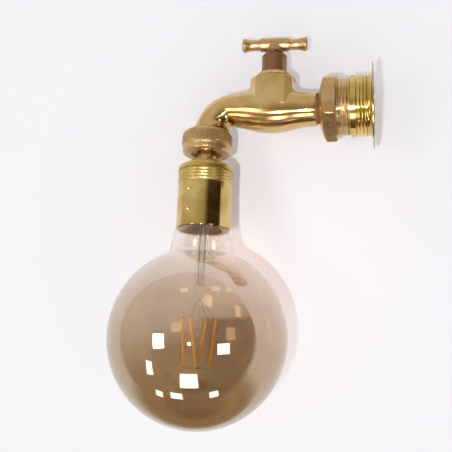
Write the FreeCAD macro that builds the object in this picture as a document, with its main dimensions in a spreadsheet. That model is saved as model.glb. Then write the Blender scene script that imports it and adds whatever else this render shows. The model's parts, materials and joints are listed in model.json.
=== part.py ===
import FreeCAD, Part
import math
import os
import re
import Sketcher
from FreeCAD import Placement, Rotation, Vector

# Wall light built around a screw-down brass tap: a flanged ring on the wall, a hexagon
# reducer, the tap with its crossbar handle, a union nut, a lampholder and a globe lamp.
#
# The origin is the centre of the flange's back face.  +X runs into the wall, the light
# stands out along -X, and +Z is up.  The tap's spindle stands at X = -head_distance and the
# lampholder hangs at X = -reach, both upright.  All lengths are in millimetres.

SIZES = {
    # wall flange: a spun sheet ring that screws over the reducer
    "flange_radius": 30.6,
    "flange_thickness": 0.8,
    "collar_length": 15.8,
    "collar_wall": 0.7,
    "bead_length": 3.7,
    "bead_height": 0.75,
    "flare_radius": 3.2,
    "screw_circle_radius": 26.6,
    "screw_hole_radius": 2.1,
    "screw_count": 3,
    # hexagon reducer between the ring and the tap's inlet
    "reducer_end": 6.0,
    "reducer_thread_radius": 20.4,
    "hexagon_face": 25.4,
    "hexagon_length": 7.0,
    "hexagon_width": 44.5,
    "nose_length": 5.9,
    "nose_radius": 11.5,
    "nose_rim_radius": 21.8,
    "nose_rim_drop": 2.5,
    "thread_root_depth": 0.9,
    "relief_depth": 0.8,
    "wiring_bore_radius": 14.8,
    "wiring_bore_depth": 18.0,
    "thread_play": 0.05,
    # terminal block in the reducer's bore
    "block_length": 12.0,
    "block_width": 16.0,
    "block_height": 24.6,
    "block_setback": 1.0,
    "pole_pitch": 8.0,
    "insert_radius": 2.6,
    "insert_length": 8.0,
    "insert_bore_radius": 1.5,
    "clamp_screw_radius": 1.4,
    "clamp_screw_pitch": 4.6,
    # tap body
    "inlet_washer_thickness": 1.3,
    "inlet_washer_radius": 10.95,
    "inlet_thread_radius": 10.4,
    "inlet_thread_length": 13.0,
    "inlet_radius": 12.0,
    "passage_radius": 7.5,
    "head_distance": 71.8,
    "belly_radius": 15.7,
    "spout_rise": 2.9,
    "spout_radius": 12.2,
    "bend_tube_radius": 11.6,
    "bend_radius": 15.2,
    "neck_radius": 12.0,
    "neck_offset": 3.7,
    "reach": 121.1,
    "outlet_thread_radius": 13.0,
    "outlet_bore_radius": 8.6,
    "outlet_length": 12.1,
    "boss_width": 30.6,
    "boss_corner": 4.7,
    "boss_shoulder": 23.4,
    "boss_corner_drop": 2.4,
    "boss_collar_radius": 15.25,
    "boss_rim_radius": 13.3,
    "boss_rim_height": 3.8,
    "seat_height": 9.0,
    "cut_room": 1.0,
    "seat_bore_radius": 5.0,
    "root_fillet": 5.0,
    # headwork
    "bonnet_thread_radius": 9.65,
    "bonnet_washer_thickness": 0.8,
    "bonnet_flange_radius": 10.4,
    "bonnet_flange_thickness": 1.2,
    "bonnet_neck_radius": 7.6,
    "bonnet_neck_length": 9.8,
    "packing_thickness": 2.2,
    "gland_radius": 9.4,
    "gland_foot_gap": 0.2,
    "gland_cap_height": 4.9,
    "gland_chamfer_radius": 8.5,
    "gland_chamfer_drop": 0.9,
    "spindle_radius": 4.0,
    "spindle_thread_radius": 5.0,
    "spindle_thread_drop": 3.7,
    "valve_lift": 6.0,
    "jumper_radius": 6.8,
    "jumper_thickness": 2.5,
    "jumper_stem_radius": 2.5,
    "jumper_stem_length": 7.5,
    "jumper_stud_radius": 1.5,
    "jumper_washer_thickness": 3.0,
    "jumper_nut_width": 5.5,
    "jumper_nut_thickness": 2.4,
    "seat_play": 0.05,
    # crossbar handle
    "handle_turn": 7.0,
    "handle_rise": 9.6,
    "barrel_radius": 5.15,
    "barrel_length": 21.2,
    "handle_neck_radius": 5.8,
    "handle_ring_radius": 6.5,
    "handle_ring_gap": 1.7,
    "handle_ring_height": 1.7,
    "handle_gap": 0.3,
    "handle_tenon_radius": 3.0,
    "handle_pin_radius": 0.9,
    "handle_pin_drop": 3.5,
    "grip_length": 13.8,
    "grip_root_radius": 4.35,
    "grip_waist_radius": 4.0,
    "grip_waist_distance": 4.1,
    "grip_end_radius": 6.0,
    "grip_edge_radius": 1.8,
    "grip_tenon_radius": 2.0,
    "grip_tenon_length": 6.8,
    # union nut and nipple
    "union_radius": 18.4,
    "union_gap": 2.2,
    "union_bevel_radius": 16.6,
    "union_bevel_height": 1.0,
    "nipple_flange_thickness": 2.3,
    "union_lip_thickness": 2.8,
    "union_lip_radius": 11.4,
    "union_edge_radius": 2.4,
    "union_lower_band": 4.0,
    "union_step": 0.5,
    "union_washer_thickness": 1.5,
    "nipple_flange_radius": 12.9,
    "nipple_radius": 7.2,
    "nipple_bore_radius": 5.0,
    "nipple_thread_radius": 6.5,
    "nipple_thread_length": 4.0,
    # lampholder
    "nipple_gap": 5.0,
    "holder_collar_radius": 12.4,
    "holder_collar_wall": 2.0,
    "holder_collar_top_radius": 8.6,
    "holder_collar_bevel": 1.6,
    "holder_collar_height": 2.8,
    "holder_dome_radius": 18.6,
    "holder_dome_drop": 2.0,
    "holder_cap_radius": 20.1,
    "holder_dome_height": 7.0,
    "holder_cap_side": 2.3,
    "holder_joint_gap": 0.1,
    "holder_skirt_radius": 19.3,
    "holder_skirt_length": 8.7,
    "holder_wall": 0.8,
    "holder_plate": 1.8,
    "locknut_width": 17.0,
    "locknut_thickness": 2.2,
    "shell_band_radius": 19.75,
    "shell_band_length": 9.6,
    "shell_radius": 19.77,
    "shell_wall": 0.6,
    "shell_overhang": 8.7,
    "insert_disc_radius": 18.35,
    "insert_drop": 13.0,
    "insert_disc_thickness": 2.4,
    "insert_skirt_radius": 16.0,
    "insert_skirt_length": 6.6,
    "socket_wall": 0.5,
    "socket_length": 24.6,
    "terminal_offset": 8.0,
    "terminal_width": 5.0,
    "terminal_thickness": 2.4,
    "contact_width": 5.0,
    "contact_thickness": 0.5,
    "contact_gap": 0.1,
    # lamp
    "lamp_room": 0.3,
    "lamp_contact_radius": 4.8,
    "lamp_contact_thickness": 0.9,
    "lamp_insulator_depth": 2.6,
    "lamp_insulator_radius": 10.5,
    "lamp_cap_radius": 13.1,
    "lamp_cap_wall": 0.3,
    "lamp_cap_length": 27.0,
    "driver_thickness": 1.6,
    "driver_drop": 6.0,
    "driver_height": 12.0,
    "cement_gap": 0.2,
    "glass_tail_length": 7.0,
    "glass_wall": 0.8,
    "glass_lip": 0.4,
    "glass_shoulder_radius": 20.2,
    "glass_shoulder_drop": 1.9,
    "glass_neck_radius": 22.8,
    "glass_neck_length": 11.9,
    "glass_mouth_radius": 26.4,
    "glass_mouth_length": 5.95,
    "globe_radius": 62.5,
    "stem_flare_rise": 6.0,
    "stem_flare_length": 10.0,
    "stem_radius": 4.2,
    "stem_bore_radius": 3.2,
    "stem_tube_length": 45.0,
    "stem_tip_length": 9.0,
    "lead_radius": 0.4,
    "lead_spacing": 1.9,
    "filament_radius": 0.9,
    "filament_drop": 15.0,
    "filament_height": 32.0,
    "filament_top_circle": 13.0,
    "filament_bottom_circle": 9.0,
    "filament_count": 4,
    "filament_start_turn": 80.0,
    "filament_slant_turn": 25.0,
    "support_radius": 0.35,
    # wires
    "core_radius": 1.0,
    "core_spread": 1.65,
    "core_corner_drop": 4.5,
    "core_inlet_run": 4.0,
    "core_outlet_run": 3.0,
    "core_rest_drop": 2.5,
}

# Places that follow from the sizes: heights above the tap's axis for the head, depths below
# it for what hangs from the spout, and the radii that one piece takes from the next.
PLACES = {
    "boss_top": "boss_shoulder + boss_rim_height",
    "bonnet_neck_top": "boss_top + bonnet_washer_thickness + bonnet_flange_thickness + bonnet_neck_length",
    "gland_top": "bonnet_neck_top + gland_cap_height",
    "spindle_thread_top": "boss_top - spindle_thread_drop",
    "handle_height": "gland_top + handle_rise",
    "handle_ring_bottom": "gland_top + handle_ring_gap",
    "handle_pin_height": "handle_height - handle_pin_drop",
    "outlet_shoulder": "bend_radius - spout_rise",
    "outlet_end": "outlet_shoulder + outlet_length",
    "washer_foot": "outlet_end + union_washer_thickness",
    "lip_top": "washer_foot + nipple_flange_thickness",
    "union_top": "outlet_shoulder + union_gap",
    "union_bottom": "lip_top + union_lip_thickness",
    "union_bevel_top": "union_bottom - union_bevel_height",
    "union_band_bottom": "union_bevel_top - union_lower_band",
    "holder_top": "union_bottom + nipple_gap",
    "holder_cap_edge": "holder_top + holder_dome_height",
    "holder_joint": "holder_cap_edge + holder_cap_side",
    "holder_skirt_bottom": "holder_joint + holder_skirt_length",
    "shell_band_bottom": "holder_joint + shell_band_length",
    "insert_disc_top": "holder_top + insert_drop",
    "insert_disc_bottom": "insert_disc_top + insert_disc_thickness",
    "insert_skirt_bottom": "insert_disc_bottom + insert_skirt_length",
    "socket_bottom": "insert_disc_bottom + socket_length",
    "socket_radius": "lamp_cap_radius + lamp_room",
    "lamp_top": "insert_disc_bottom + contact_thickness + contact_gap",
    "lamp_cap_bottom": "lamp_top + lamp_cap_length",
    "lamp_cap_bore": "lamp_cap_radius - lamp_cap_wall",
    "shell_bottom": "lamp_cap_bottom + shell_overhang",
    "driver_top": "lamp_top + driver_drop",
    "glass_tail_radius": "lamp_cap_bore - cement_gap",
    "glass_tail_top": "lamp_cap_bottom - glass_tail_length",
    "glass_flare_top": "lamp_cap_bottom + glass_lip",
    "glass_rim_radius": "shell_radius - shell_wall - lamp_room",
    "glass_shoulder": "shell_bottom + glass_shoulder_drop",
    "glass_neck": "glass_shoulder + glass_neck_length",
    "globe_centre": "glass_neck + glass_mouth_length + sqrt(globe_radius^2 - glass_mouth_radius^2)",
    "stem_flare_top": "lamp_cap_bottom - stem_flare_rise",
    "stem_flare_radius": "glass_tail_radius - glass_wall - cement_gap",
    "stem_tube_top": "stem_flare_top + stem_flare_length",
    "stem_pinch_top": "stem_tube_top + stem_tube_length",
    "stem_tip": "stem_pinch_top + stem_tip_length",
    "filament_top": "stem_tip + filament_drop",
    "filament_bottom": "filament_top + filament_height",
}

doc = FreeCAD.newDocument("tap_wall_light")
sheet = doc.addObject("Spreadsheet::Sheet", "Size")
for row, (alias, size) in enumerate(SIZES.items(), start=1):
    sheet.set("A%d" % row, alias)
    sheet.set("B%d" % row, str(size))
    sheet.setAlias("B%d" % row, alias)
doc.recompute()

pieces = []


# ---------------------------------------------------------------------------- helpers


def bound(expression):
    """The expression with each place spelled out and each size named as a cell of the sheet."""
    def spelled(word):
        name = word.group()
        if name in PLACES:
            return "(" + bound(PLACES[name]) + ")"
        return "Size." + name if name in SIZES else name

    return re.sub(r"[a-z_]+", spelled, expression)


def number(expression):
    """The expression's value for the sizes as they stand."""
    return float(sheet.evalExpression(bound(expression)))


def vector(expressions):
    return Vector(*[number(text) for text in expressions])


def piece(thing, name):
    """Name a finished piece and list it for the parts folder."""
    thing.Label = name
    pieces.append(thing)
    return thing


def put(thing, place):
    """Bind a thing's position to three expressions."""
    for coordinate, expression in zip("xyz", place):
        thing.setExpression("Placement.Base." + coordinate, bound(expression))
    return thing


def plane_of(body, role):
    return next(feature for feature in body.Origin.OriginFeatures if feature.Role == role)


def outline(body, name, corners, role="XZ_Plane"):
    """A closed sketch through corners (across, up).  A corner written (across, up, "arc")
    is a point that an arc passes through on its way between its two neighbours."""
    sketch = body.newObject("Sketcher::SketchObject", name)
    sketch.AttachmentSupport = [(plane_of(body, role), "")]
    sketch.MapMode = "FlatFace"

    def pin(geometry, point, corner):
        for kind, expression in zip(("DistanceX", "DistanceY"), corner):
            made = sketch.addConstraint(Sketcher.Constraint(kind, -1, 1, geometry, point, number(expression)))
            sketch.setExpression("Constraints[%d]" % made, bound(expression))

    def spot(corner):
        return Vector(number(corner[0]), number(corner[1]), 0)

    ends = [corner for corner in corners if len(corner) == 2]
    edges = []
    for index, corner in enumerate(corners):
        if len(corner) == 3:
            continue
        following = corners[(index + 1) % len(corners)]
        start = spot(corner)
        if len(following) == 2:
            made = sketch.addGeometry(Part.LineSegment(start, spot(following)), False)
            edges.append((made, 1, 2))
            continue
        beyond = corners[(index + 2) % len(corners)]
        made = sketch.addGeometry(Part.Arc(start, spot(following), spot(beyond)), False)
        forward = sketch.getPoint(made, 1).distanceToPoint(start) < 1e-6
        edges.append((made, 1, 2) if forward else (made, 2, 1))
        guide = sketch.addGeometry(Part.Point(spot(following)), True)
        pin(guide, 1, following)
        sketch.addConstraint(Sketcher.Constraint("PointOnObject", guide, 1, made))
    for (edge, first, last), (after, begin, end) in zip(edges, edges[1:] + edges[:1]):
        sketch.addConstraint(Sketcher.Constraint("Coincident", edge, last, after, begin))
    for (edge, first, last), corner in zip(edges, ends):
        pin(edge, first, corner)
    return sketch


def turned(name, corners, about="Z", at=("0", "0", "0")):
    """A piece turned about X or Z from its half outline."""
    body = doc.addObject("PartDesign::Body", name)
    turn = body.newObject("PartDesign::Revolution", name + "_turned")
    turn.Profile = outline(body, name + "_outline", corners)
    turn.ReferenceAxis = (turn.Profile[0], ["H_Axis" if about == "X" else "V_Axis"])
    turn.Angle = 360
    return put(body, at)


def rounded(body, radius, corners, about="Z"):
    """Round the turned edges that pass through the outline's corners."""
    doc.recompute()
    tip = body.Tip
    wanted = [vector((across, up, "0")) for across, up in corners]
    names = []
    for index, edge in enumerate(tip.Shape.Edges, start=1):
        if edge.Degenerated or not isinstance(edge.Curve, Part.Circle):
            continue
        circle = edge.Curve
        found = Vector(circle.Center.x, circle.Radius, 0)
        if about == "Z":
            found = Vector(circle.Radius, circle.Center.z, 0)
        if any(found.distanceToPoint(spot) < 1e-4 for spot in wanted):
            names.append("Edge%d" % index)
    fillet = body.newObject("PartDesign::Fillet", body.Name + "_rounded")
    fillet.Base = (tip, names)
    fillet.setExpression("Radius", bound(radius))
    return body


def cut_through(body, name, corners, role, count="1", axis_role="X_Axis"):
    """Cut an outline right through a body, repeated evenly round an axis."""
    pocket = body.newObject("PartDesign::Pocket", name)
    if isinstance(corners, list):
        corners = outline(body, name + "_outline", corners, role)
    pocket.Profile = corners
    pocket.Type = "ThroughAll"
    pocket.Midplane = True
    if count != "1":
        ring = body.newObject("PartDesign::PolarPattern", name + "_ring")
        ring.Originals = [pocket]
        ring.Axis = (plane_of(body, axis_role), [""])
        ring.Angle = 360
        ring.setExpression("Occurrences", bound(count))
        body.Tip = ring
    return body


def round_hole_sketch(body, name, across, up, radius, role):
    sketch = body.newObject("Sketcher::SketchObject", name)
    sketch.AttachmentSupport = [(plane_of(body, role), "")]
    sketch.MapMode = "FlatFace"
    centre = Vector(number(across), number(up), 0)
    sketch.addGeometry(Part.Circle(centre, Vector(0, 0, 1), number(radius)), False)
    for kind, expression in (("DistanceX", across), ("DistanceY", up)):
        made = sketch.addConstraint(Sketcher.Constraint(kind, -1, 1, 0, 3, number(expression)))
        sketch.setExpression("Constraints[%d]" % made, bound(expression))
    made = sketch.addConstraint(Sketcher.Constraint("Radius", 0, number(radius)))
    sketch.setExpression("Constraints[%d]" % made, bound(radius))
    return sketch


def rod(name, radius, length, at, along=Vector(0, 0, 1)):
    """A round bar from a point, along a direction."""
    cylinder = doc.addObject("Part::Cylinder", name)
    cylinder.setExpression("Radius", bound(radius))
    cylinder.setExpression("Height", bound(length))
    cylinder.Placement = Placement(Vector(), Rotation(Vector(0, 0, 1), along))
    return put(cylinder, at)


def block(name, length, width, height, at):
    """A rectangular bar whose low corner is at a point."""
    box = doc.addObject("Part::Box", name)
    for side, expression in zip(("Length", "Width", "Height"), (length, width, height)):
        box.setExpression(side, bound(expression))
    return put(box, at)


def hexagon(name, width, height, at):
    """An upright hexagonal bar, measured across its flats."""
    prism = doc.addObject("Part::Prism", name)
    prism.Polygon = 6
    prism.setExpression("Circumradius", bound("(%s) / 2 / cos(30 deg)" % width))
    prism.setExpression("Height", bound(height))
    return put(prism, at)


def joined(name, things):
    fusion = doc.addObject("Part::MultiFuse", name)
    fusion.Shapes = things
    return fusion


def cut(name, base, tools):
    """A thing with one or more tools cut out of it, one after another."""
    for step, tool in enumerate(tools, start=1):
        difference = doc.addObject("Part::Cut", name if step == len(tools) else "%s_cut_%d" % (name, step))
        difference.Base = base
        difference.Tool = tool
        base = difference
    return base


def together(name, things):
    """Separate solids that share one node."""
    compound = doc.addObject("Part::Compound", name)
    compound.Links = things
    return compound


def own_shape(name, shape):
    feature = doc.addObject("Part::Feature", name)
    feature.Shape = shape
    return feature


def tube_along(points, radius):
    """A round tube along straight runs joined by arcs that touch both runs."""
    edges = []
    start = points[0]
    radii = []
    for before, corner, after in zip(points, points[1:], points[2:]):
        inward = (before - corner).normalize()
        outward = (after - corner).normalize()
        turn = math.pi - inward.getAngle(outward)
        reach_back = 0.45 * min((before - corner).Length, (after - corner).Length)
        bend = reach_back / math.tan(turn / 2)
        radii.append(bend)
        first = corner + inward * reach_back
        last = corner + outward * reach_back
        middle = corner + (inward + outward).normalize() * (bend / math.cos(turn / 2) - bend)
        edges.append(Part.LineSegment(start, first).toShape())
        edges.append(Part.Arc(first, middle, last).toShape())
        start = last
    edges.append(Part.LineSegment(start, points[-1]).toShape())
    path = Part.Wire(edges)
    section = Part.Wire([Part.Circle(points[0], points[1] - points[0], radius).toShape()])
    tube = path.makePipeShell([section], True, False)
    expected = math.pi * radius * radius * path.Length
    print("tube: tightest bend %.1f, volume share %.4f" % (min(radii), tube.Volume / expected))
    return tube


HEAD = ("-head_distance", "0", "0")
DROP = ("-reach", "0", "0")


# ---------------------------------------------------------------------------- wall end

collar_bore = "(reducer_thread_radius + thread_play)"
collar_outside = "(reducer_thread_radius + thread_play + collar_wall)"

flange = turned("wall_flange", [
    ("-collar_length", collar_bore + " + bead_height"),
    ("-collar_length", collar_outside + " + bead_height"),
    ("-collar_length + bead_length", collar_outside + " + bead_height"),
    ("-collar_length + bead_length + bead_height", collar_outside),
    ("-flange_thickness", collar_outside),
    ("-flange_thickness", "flange_radius"),
    ("0", "flange_radius"),
    ("0", collar_bore),
    ("-collar_length + bead_length", collar_bore),
    ("-collar_length + bead_length - bead_height", collar_bore + " + bead_height"),
], about="X")
rounded(flange, "flare_radius", [("-flange_thickness", collar_outside)], about="X")
hole = round_hole_sketch(flange, "flange_hole_outline", "0", "screw_circle_radius", "screw_hole_radius",
                         "YZ_Plane")
cut_through(flange, "flange_hole", hole, "YZ_Plane", count="screw_count")
piece(flange, "wall_flange")

hexagon_corner = "(hexagon_width / 2 / cos(30 deg))"
hexagon_back = "(hexagon_face + hexagon_length)"
reducer_front = "(hexagon_face + hexagon_length + nose_length)"
bore_step = "(reducer_end + wiring_bore_depth)"

reducer = turned("hex_reducer", [
    ("-" + reducer_front, "inlet_thread_radius + thread_play"),
    ("-" + reducer_front, "nose_radius"),
    ("-%s - nose_rim_drop" % hexagon_back, "nose_rim_radius"),
    ("-" + hexagon_back, hexagon_corner),
    ("-hexagon_face - relief_depth", hexagon_corner),
    ("-hexagon_face", hexagon_corner + " - relief_depth"),
    ("-hexagon_face", "reducer_thread_radius - thread_root_depth"),
    ("-collar_length", "reducer_thread_radius - thread_root_depth"),
    ("-collar_length", "reducer_thread_radius"),
    ("-reducer_end - relief_depth", "reducer_thread_radius"),
    ("-reducer_end", "reducer_thread_radius - relief_depth"),
    ("-reducer_end", "wiring_bore_radius"),
    ("-" + bore_step, "wiring_bore_radius"),
    ("-" + bore_step, "inlet_thread_radius + thread_play"),
], about="X")
cut_through(reducer, "hexagon_flat", [
    ("hexagon_width / 2", "-hexagon_width / 2"),
    ("hexagon_width", "-hexagon_width / 2"),
    ("hexagon_width", "hexagon_width / 2"),
    ("hexagon_width / 2", "hexagon_width / 2"),
], "YZ_Plane", count="6")
piece(reducer, "hex_reducer")

inlet_shoulder = "(hexagon_face + hexagon_length + nose_length + inlet_washer_thickness)"

piece(turned("inlet_washer", [
    ("-" + inlet_shoulder, "inlet_thread_radius + thread_play"),
    ("-" + inlet_shoulder, "inlet_washer_radius"),
    ("-" + reducer_front, "inlet_washer_radius"),
    ("-" + reducer_front, "inlet_thread_radius + thread_play"),
], about="X"), "inlet_washer")


def terminal_strip():
    """Three poles side by side: a moulded block, brass inserts and two screws to a pole."""
    back = "(-reducer_end - block_setback)"
    front = "(-reducer_end - block_setback - block_length)"
    middle = "(-reducer_end - block_setback - block_length / 2)"
    screw_length = "(block_width / 2 - insert_bore_radius)"
    bores, wells, inserts, screws = [], [], [], []
    along_x = Vector(1, 0, 0)
    along_y = Vector(0, 1, 0)
    for pole in (-1, 0, 1):
        height = "%d * pole_pitch" % pole
        mark = str(pole + 2)
        bores.append(rod("pole_bore_" + mark, "insert_radius", "block_length", (front, "0", height), along_x))
        start = middle + " - insert_length / 2"
        sleeve = rod("insert_bar_" + mark, "insert_radius", "insert_length", (start, "0", height), along_x)
        eye = rod("insert_eye_" + mark, "insert_bore_radius", "insert_length", (start, "0", height), along_x)
        taps = []
        for side in (-1, 1):
            place = ("%s + %d * clamp_screw_pitch / 2" % (middle, side), "insert_bore_radius", height)
            tag = mark + ("a" if side < 0 else "b")
            wells.append(rod("screw_well_" + tag, "clamp_screw_radius", screw_length, place, along_y))
            taps.append(rod("insert_tap_" + tag, "clamp_screw_radius", "insert_radius", place, along_y))
            depth = "insert_radius + clamp_screw_radius - insert_bore_radius"
            screws.append(rod("clamp_screw_" + tag, "clamp_screw_radius", depth, place, along_y))
        inserts.append(cut("insert_" + mark, sleeve, [eye] + taps))
    strip = block("strip", "block_length", "block_width", "block_height",
                  (front, "-block_width / 2", "-block_height / 2"))
    piece(cut("terminal_block", strip, bores + wells), "terminal_block")
    piece(together("terminal_inserts", inserts), "terminal_inserts")
    piece(together("terminal_screws", screws), "terminal_screws")


terminal_strip()


# ---------------------------------------------------------------------------- tap body

bend_start = "(reach - neck_offset - bend_radius)"


def ease(share):
    """Rises smoothly from 0 to 1."""
    return share * share * (3 - 2 * share)


def blend(first, last, share):
    return "(%s) + %.6f * ((%s) - (%s))" % (first, share, last, first)


def station(name, distance, height, lean, radius):
    """A round section of the tube, its face turned down by lean degrees from the -X way."""
    circle = doc.addObject("Part::Circle", name)
    circle.setExpression("Radius", bound(radius))
    across = math.radians(lean)
    facing = Vector(-math.cos(across), 0, -math.sin(across))
    circle.Placement = Placement(Vector(), Rotation(Vector(0, 0, 1), facing))
    return put(circle, ("-(%s)" % distance, "0", height))


def tube_stations(name):
    """Sections from the inlet through the belly under the head and round the spout's bend."""
    sections = []
    for step, share in enumerate((0.0, 0.3, 0.65, 1.0)):
        distance = blend(inlet_shoulder, "head_distance", share)
        radius = blend("inlet_radius", "belly_radius", ease(share))
        sections.append(station("%s_belly_%d" % (name, step), distance, "0", 0, radius))
    for step, share in enumerate((0.33, 0.66, 1.0)):
        distance = blend("head_distance", bend_start, share)
        height = "%.6f * spout_rise" % ease(share)
        radius = blend("belly_radius", "spout_radius", share * share)
        sections.append(station("%s_spout_%d" % (name, step), distance, height, 0, radius))
    for step, lean in enumerate((22.5, 45.0, 67.5, 90.0)):
        outward = 1.0 if lean == 90.0 else 1.03
        distance = "%s + %.6f * bend_radius" % (bend_start, outward * math.sin(math.radians(lean)))
        height = "spout_rise - %.6f * bend_radius" % ((1 - math.cos(math.radians(lean))) / outward)
        radius = "neck_radius" if lean == 90.0 else "bend_tube_radius"
        sections.append(station("%s_bend_%d" % (name, step), distance, height, lean, radius))
    return sections


def lofted(name, sections):
    loft = doc.addObject("Part::Loft", name)
    loft.Sections = sections
    loft.Solid = True
    loft.Ruled = False
    return loft


def tap_boss():
    """The eight-sided boss that takes the headwork: a square with cut corners, turned off
    above into a round collar."""
    boss = doc.addObject("PartDesign::Body", "boss")
    pad = boss.newObject("PartDesign::Pad", "boss_pad")
    half = "boss_width / 2"
    cut_back = "(boss_width / 2 - boss_corner)"
    pad.Profile = outline(boss, "boss_outline", [
        (half, "-" + cut_back), (half, cut_back), (cut_back, half), ("-" + cut_back, half),
        ("-" + half, cut_back), ("-" + half, "-" + cut_back),
        ("-" + cut_back, "-" + half), (cut_back, "-" + half),
    ], "XY_Plane")
    pad.setExpression("Length", bound("boss_top"))
    groove = boss.newObject("PartDesign::Groove", "boss_turned_off")
    groove.Profile = outline(boss, "boss_rim_outline", [
        ("boss_rim_radius", "boss_top + cut_room"),
        ("boss_rim_radius", "boss_top"),
        ("boss_collar_radius", "boss_shoulder"),
        ("boss_width", "boss_shoulder - (boss_width - boss_collar_radius) * boss_corner_drop / boss_corner"),
        ("boss_width", "boss_top + cut_room"),
    ])
    groove.ReferenceAxis = (groove.Profile[0], ["V_Axis"])
    groove.Angle = 360
    return put(boss, HEAD)


outside = lofted("tube_outside", tube_stations("outside"))
boss = tap_boss()
cast = joined("cast_body", [outside, boss])
doc.recompute()


def root_edges(shape):
    """The seams where the boss meets the tube, which the casting blends with a fillet."""
    found = []
    low = number("seat_height")
    high = number("boss_shoulder - boss_corner_drop")
    for index, edge in enumerate(shape.Edges, start=1):
        box = edge.BoundBox
        straight = isinstance(edge.Curve, Part.Line)
        near_head = abs(box.Center.x + number("head_distance")) < number("boss_width")
        if near_head and not straight and box.ZMin > low / 2 and box.ZMax < high:
            found.append(index)
    return found


seams = root_edges(cast.Shape)
blended = doc.addObject("Part::Fillet", "blended_body")
blended.Base = cast
blended.Edges = [(index, SIZES["root_fillet"], SIZES["root_fillet"]) for index in seams]

inlet_spigot = rod("inlet_spigot", "inlet_thread_radius", "inlet_washer_thickness + inlet_thread_length",
                   ("-" + inlet_shoulder, "0", "0"), Vector(1, 0, 0))
outlet_spigot = rod("outlet_spigot", "outlet_thread_radius", "outlet_length",
                    ("-reach", "0", "-outlet_end"))
whole = joined("body_with_spigots", [blended, inlet_spigot, outlet_spigot])


def waterway():
    """The way from the inlet under the valve seat and round the spout's bend."""
    open_end = number("-%s + inlet_washer_thickness + inlet_thread_length" % inlet_shoulder)
    drop = -SIZES["reach"] + SIZES["neck_offset"] * 0.6
    points = [
        Vector(open_end, 0, 0),
        Vector(-SIZES["head_distance"], 0, 0),
        Vector(drop, 0, SIZES["spout_rise"]),
        Vector(drop, 0, -number("outlet_end")),
    ]
    return tube_along(points, SIZES["passage_radius"])


main_way = own_shape("main_way", waterway())
outlet_way = rod("outlet_way", "outlet_bore_radius", "outlet_length",
                 ("-reach", "0", "-outlet_end"))
seat_way = rod("seat_way", "seat_bore_radius", "seat_height", HEAD)
bonnet_way = rod("bonnet_way", "bonnet_thread_radius + thread_play", "boss_top - seat_height",
                 ("-head_distance", "0", "seat_height"))
ways = [main_way, outlet_way, seat_way, bonnet_way]
piece(cut("tap_body", whole, ways), "tap_body")


# ---------------------------------------------------------------------------- headwork

bonnet_seat = "(boss_top + bonnet_washer_thickness)"
jumper_foot = "(seat_height + seat_play)"
jumper_top = "(seat_height + seat_play + jumper_washer_thickness + jumper_thickness)"
bonnet_bottom = "(%s + valve_lift + handle_gap)" % jumper_top
thread_room = "(spindle_thread_top + valve_lift + handle_gap)"

piece(turned("bonnet_washer", [
    ("bonnet_thread_radius + thread_play", "boss_top"),
    ("bonnet_flange_radius", "boss_top"),
    ("bonnet_flange_radius", bonnet_seat),
    ("bonnet_thread_radius + thread_play", bonnet_seat),
], at=HEAD), "bonnet_washer")

piece(turned("bonnet", [
    ("spindle_thread_radius + thread_play", bonnet_bottom),
    ("bonnet_thread_radius", bonnet_bottom),
    ("bonnet_thread_radius", bonnet_seat),
    ("bonnet_flange_radius", bonnet_seat),
    ("bonnet_flange_radius", bonnet_seat + " + bonnet_flange_thickness"),
    ("bonnet_neck_radius", bonnet_seat + " + bonnet_flange_thickness"),
    ("bonnet_neck_radius", "bonnet_neck_top"),
    ("spindle_radius + thread_play", "bonnet_neck_top"),
    ("spindle_radius + thread_play", thread_room),
    ("spindle_thread_radius + thread_play", thread_room),
], at=HEAD), "bonnet")

piece(turned("packing_ring", [
    ("spindle_radius + thread_play", "bonnet_neck_top"),
    ("bonnet_neck_radius", "bonnet_neck_top"),
    ("bonnet_neck_radius", "bonnet_neck_top + packing_thickness"),
    ("spindle_radius + thread_play", "bonnet_neck_top + packing_thickness"),
], at=HEAD), "packing_ring")

gland_foot = bonnet_seat + " + bonnet_flange_thickness + gland_foot_gap"
piece(turned("gland_nut", [
    ("bonnet_neck_radius + thread_play", gland_foot),
    ("gland_radius", gland_foot),
    ("gland_radius", "gland_top - gland_chamfer_drop"),
    ("gland_chamfer_radius", "gland_top"),
    ("spindle_radius + thread_play", "gland_top"),
    ("spindle_radius + thread_play", "bonnet_neck_top + packing_thickness"),
    ("bonnet_neck_radius + thread_play", "bonnet_neck_top + packing_thickness"),
], at=HEAD), "gland_nut")

hub_foot = "(gland_top + handle_gap)"
socket_top = "(%s + jumper_stem_length + handle_gap)" % jumper_top
spindle_bar = turned("spindle_bar", [
    ("jumper_stem_radius + thread_play", jumper_top + " + seat_play"),
    ("spindle_thread_radius", jumper_top + " + seat_play"),
    ("spindle_thread_radius", "spindle_thread_top"),
    ("spindle_radius", "spindle_thread_top"),
    ("spindle_radius", hub_foot),
    ("handle_tenon_radius", hub_foot),
    ("handle_tenon_radius", "handle_height"),
    ("0", "handle_height"),
    ("0", socket_top),
    ("jumper_stem_radius + thread_play", socket_top),
], at=HEAD)


def across_handle():
    """The level way square to the crossbar."""
    turn = math.radians(SIZES["handle_turn"])
    return Vector(-math.sin(turn), math.cos(turn), 0)


def handle_pin(name):
    """The cross pin, and the hole for it, through the handle's neck and the spindle."""
    turn = "handle_turn * 1 deg"
    start = ("-head_distance + handle_neck_radius * sin(%s)" % turn,
             "-handle_neck_radius * cos(%s)" % turn, "handle_pin_height")
    return rod(name, "handle_pin_radius", "2 * handle_neck_radius", start, across_handle())


piece(cut("spindle", spindle_bar, [handle_pin("spindle_pin_hole")]), "spindle")
piece(handle_pin("handle_pin"), "handle_pin")

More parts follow.
